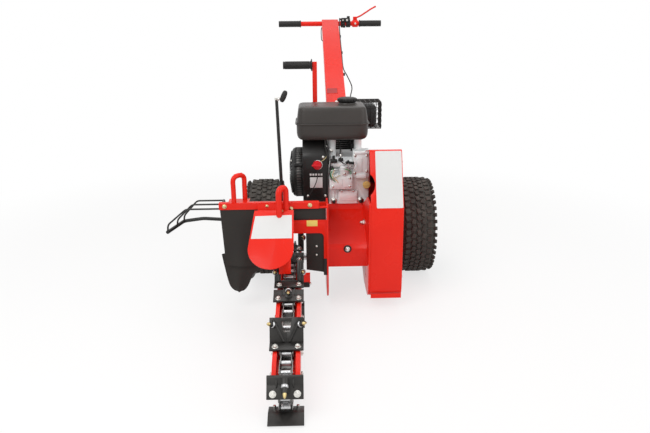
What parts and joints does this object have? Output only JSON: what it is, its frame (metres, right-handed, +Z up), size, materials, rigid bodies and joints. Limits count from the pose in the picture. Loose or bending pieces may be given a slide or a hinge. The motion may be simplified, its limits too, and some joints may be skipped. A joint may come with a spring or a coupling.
{
  "type": "chain trencher",
  "caption": "Walk-behind chain trencher: two wheels, petrol engine, belt drive, digging boom with a toothed chain, side auger under shields, mast and handlebar.",
  "frame": {"origin": "middle of the bounding box at floor level, under the engine", "axes": "+Y from the boom's nose to the handlebar, +Z up, +X to the right hand of a viewer who faces the boom's nose"},
  "size_m": [1.0292, 2.1542, 1.1217],
  "materials": {
    "air_cleaner": "fine-grained black plastic",
    "auger": "gloss red powder coat",
    "auger_cover": "gloss red powder coat",
    "axle": "machined, lightly oiled",
    "belt_guard": "gloss red powder coat",
    "blower_housing": "satin black paint",
    "boom_bar": "gloss red powder coat",
    "carburettor": "as die-cast, matt",
    "chain_flap": "matt black rubber",
    "clutch_pulley": "satin black paint",
    "crankcase": "as die-cast, matt",
    "crankshaft": "machined, lightly oiled",
    "cross_bar": "gloss red powder coat",
    "cutter_1": "blackened forged steel",
    "cutter_2": "blackened forged steel",
    "cutter_3": "blackened forged steel",
    "cutter_4": "blackened forged steel",
    "cutter_5": "blackened forged steel",
    "cutter_6": "blackened forged steel",
    "cutter_7": "blackened forged steel",
    "cutter_8": "blackened forged steel",
    "cylinder": "as die-cast, matt",
    "digging_chain": "machined, lightly oiled",
    "drive_belt": "matt black rubber",
    "driven_pulley": "satin black paint",
    "engine_switch": "red plastic",
    "flywheel": "as die-cast, matt",
    "front_flap": "matt black rubber",
    "fuel_cap": "fine-grained black plastic",
    "fuel_tank": "satin black paint",
    "handle_mast": "gloss red powder coat",
    "handlebar": "gloss red powder coat",
    "head_shaft": "machined, lightly oiled",
    "left_bearing": "machined, lightly oiled",
    "left_grip": "matt black rubber",
    "left_rim": "satin black paint",
    "left_tyre": "turf tread, matt black",
    "lift_grip": "matt black rubber",
    "lift_lever": "gloss red powder coat",
    "lock_knob": "fine-grained black plastic",
    "lock_lever": "satin black paint",
    "main_frame": "gloss red powder coat",
    "muffler": "satin black paint",
    "muffler_guard": "satin black paint",
    "oil_cap": "yellow plastic",
    "rear_flap": "matt black rubber",
    "recoil_handle": "fine-grained black plastic",
    "recoil_starter": "fine-grained black plastic",
    "right_bearing": "machined, lightly oiled",
    "right_grip": "matt black rubber",
    "right_rim": "satin black paint",
    "right_tyre": "turf tread, matt black",
    "rocker_cover": "machined, lightly oiled",
    "side_cover": "as die-cast, matt",
    "sprocket": "machined, lightly oiled",
    "switch_box": "fine-grained black plastic",
    "tail_roller": "machined, lightly oiled",
    "throttle_cable": "matt black rubber",
    "throttle_lever": "gloss red powder coat",
    "wire_guard": "satin black paint"
  },
  "bodies": {
    "frame": {"air_cleaner": "air_cleaner", "auger_cover": "auger_cover", "axle": "axle", "belt_guard": "belt_guard", "blower_housing": "blower_housing", "carburettor": "carburettor", "chain_flap": "chain_flap", "crankcase": "crankcase", "cross_bar": "cross_bar", "cylinder": "cylinder", "drive_belt": "drive_belt", "front_flap": "front_flap", "fuel_tank": "fuel_tank", "handle_mast": "handle_mast", "handlebar": "handlebar", "left_bearing": "left_bearing", "left_grip": "left_grip", "main_frame": "main_frame", "muffler": "muffler", "muffler_guard": "muffler_guard", "rear_flap": "rear_flap", "recoil_starter": "recoil_starter", "right_bearing": "right_bearing", "right_grip": "right_grip", "rocker_cover": "rocker_cover", "side_cover": "side_cover", "switch_box": "switch_box", "throttle_cable": "throttle_cable", "wire_guard": "wire_guard"},
    "left_wheel": {"left_rim": "left_rim", "left_tyre": "left_tyre"},
    "right_wheel": {"right_rim": "right_rim", "right_tyre": "right_tyre"},
    "head_drive": {"head_shaft": "head_shaft", "sprocket": "sprocket", "auger": "auger", "driven_pulley": "driven_pulley"},
    "engine_rotor": {"crankshaft": "crankshaft", "flywheel": "flywheel", "clutch_pulley": "clutch_pulley"},
    "boom": {"boom_bar": "boom_bar", "digging_chain": "digging_chain", "cutter_1": "cutter_1", "cutter_2": "cutter_2", "cutter_3": "cutter_3", "cutter_4": "cutter_4", "cutter_5": "cutter_5", "cutter_6": "cutter_6", "cutter_7": "cutter_7", "cutter_8": "cutter_8"},
    "boom_tail": {"tail_roller": "tail_roller"},
    "lift_lever": {"lift_lever": "lift_lever", "lift_grip": "lift_grip"},
    "lock_lever": {"lock_lever": "lock_lever", "lock_knob": "lock_knob"},
    "throttle_lever": {"throttle_lever": "throttle_lever"},
    "engine_switch": {"engine_switch": "engine_switch"},
    "recoil_handle": {"recoil_handle": "recoil_handle"},
    "fuel_cap": {"fuel_cap": "fuel_cap"},
    "oil_cap": {"oil_cap": "oil_cap"}
  },
  "joints": [
    {"name": "left_wheel_spin", "type": "hinge", "parent": "frame", "child": "left_wheel", "pos_m": [-0.18036, 0.04314, 0.203], "axis": [1, 0, 0], "continuous": true},
    {"name": "right_wheel_spin", "type": "hinge", "parent": "frame", "child": "right_wheel", "pos_m": [0.44164, 0.04314, 0.203], "axis": [1, 0, 0], "continuous": true},
    {"name": "head_drive_spin", "type": "hinge", "parent": "boom", "child": "head_drive", "pos_m": [0.13064, -0.24486, 0.17], "axis": [1, 0, 0], "continuous": true},
    {"name": "engine_spin", "type": "hinge", "parent": "frame", "child": "engine_rotor", "pos_m": [0.13064, 0.04314, 0.441], "axis": [1, 0, 0], "continuous": true},
    {"name": "boom_pivot", "type": "hinge", "parent": "frame", "child": "boom", "pos_m": [0.13064, -0.24486, 0.17], "axis": [1, 0, 0], "range_deg": [0, 45]},
    {"name": "boom_tail_spin", "type": "hinge", "parent": "boom", "child": "boom_tail", "pos_m": [-0.07036, -1.00276, 0.06555], "axis": [1, 0, 0], "continuous": true},
    {"name": "lift_lever_swing", "type": "hinge", "parent": "frame", "child": "lift_lever", "pos_m": [0.03464, 0.24314, 0.3], "axis": [1, 0, 0], "range_deg": [-40.5, 0]},
    {"name": "lock_lever_swing", "type": "hinge", "parent": "frame", "child": "lock_lever", "pos_m": [-0.10136, -0.17886, 0.362], "axis": [1, 0, 0], "range_deg": [-30, 0]},
    {"name": "throttle_squeeze", "type": "hinge", "parent": "frame", "child": "throttle_lever", "pos_m": [0.26765, 1.04846, 1.05801], "axis": [0, 1, 0], "range_deg": [0, 22], "stiffness_Nm_per_rad": 0.3, "springref_deg": -20.05},
    {"name": "switch_turn", "type": "hinge", "parent": "frame", "child": "engine_switch", "pos_m": [0.03664, -0.10116, 0.5], "axis": [0, 1, 0], "range_deg": [0, 60]},
    {"name": "starter_pull", "type": "slide", "parent": "frame", "child": "recoil_handle", "axis": [0, -1, 0], "range_m": [0, 0.35], "stiffness_N_per_m": 20, "springref_m": -0.15},
    {"name": "fuel_cap_turn", "type": "hinge", "parent": "frame", "child": "fuel_cap", "pos_m": [0.16064, 0.00904, 0.7423], "axis": [0, 0, 1], "range_deg": [0, 90]},
    {"name": "oil_cap_turn", "type": "hinge", "parent": "frame", "child": "oil_cap", "pos_m": [0.23364, -0.08416, 0.414], "axis": [0, -1, 0], "range_deg": [0, 180]}
  ],
  "couplings": [
    {"joint": "engine_spin", "follows": "head_drive_spin", "ratio": 2.125},
    {"joint": "boom_tail_spin", "follows": "head_drive_spin", "ratio": 1.3179},
    {"joint": "lift_lever_swing", "follows": "boom_pivot", "ratio": -0.9}
  ]
}
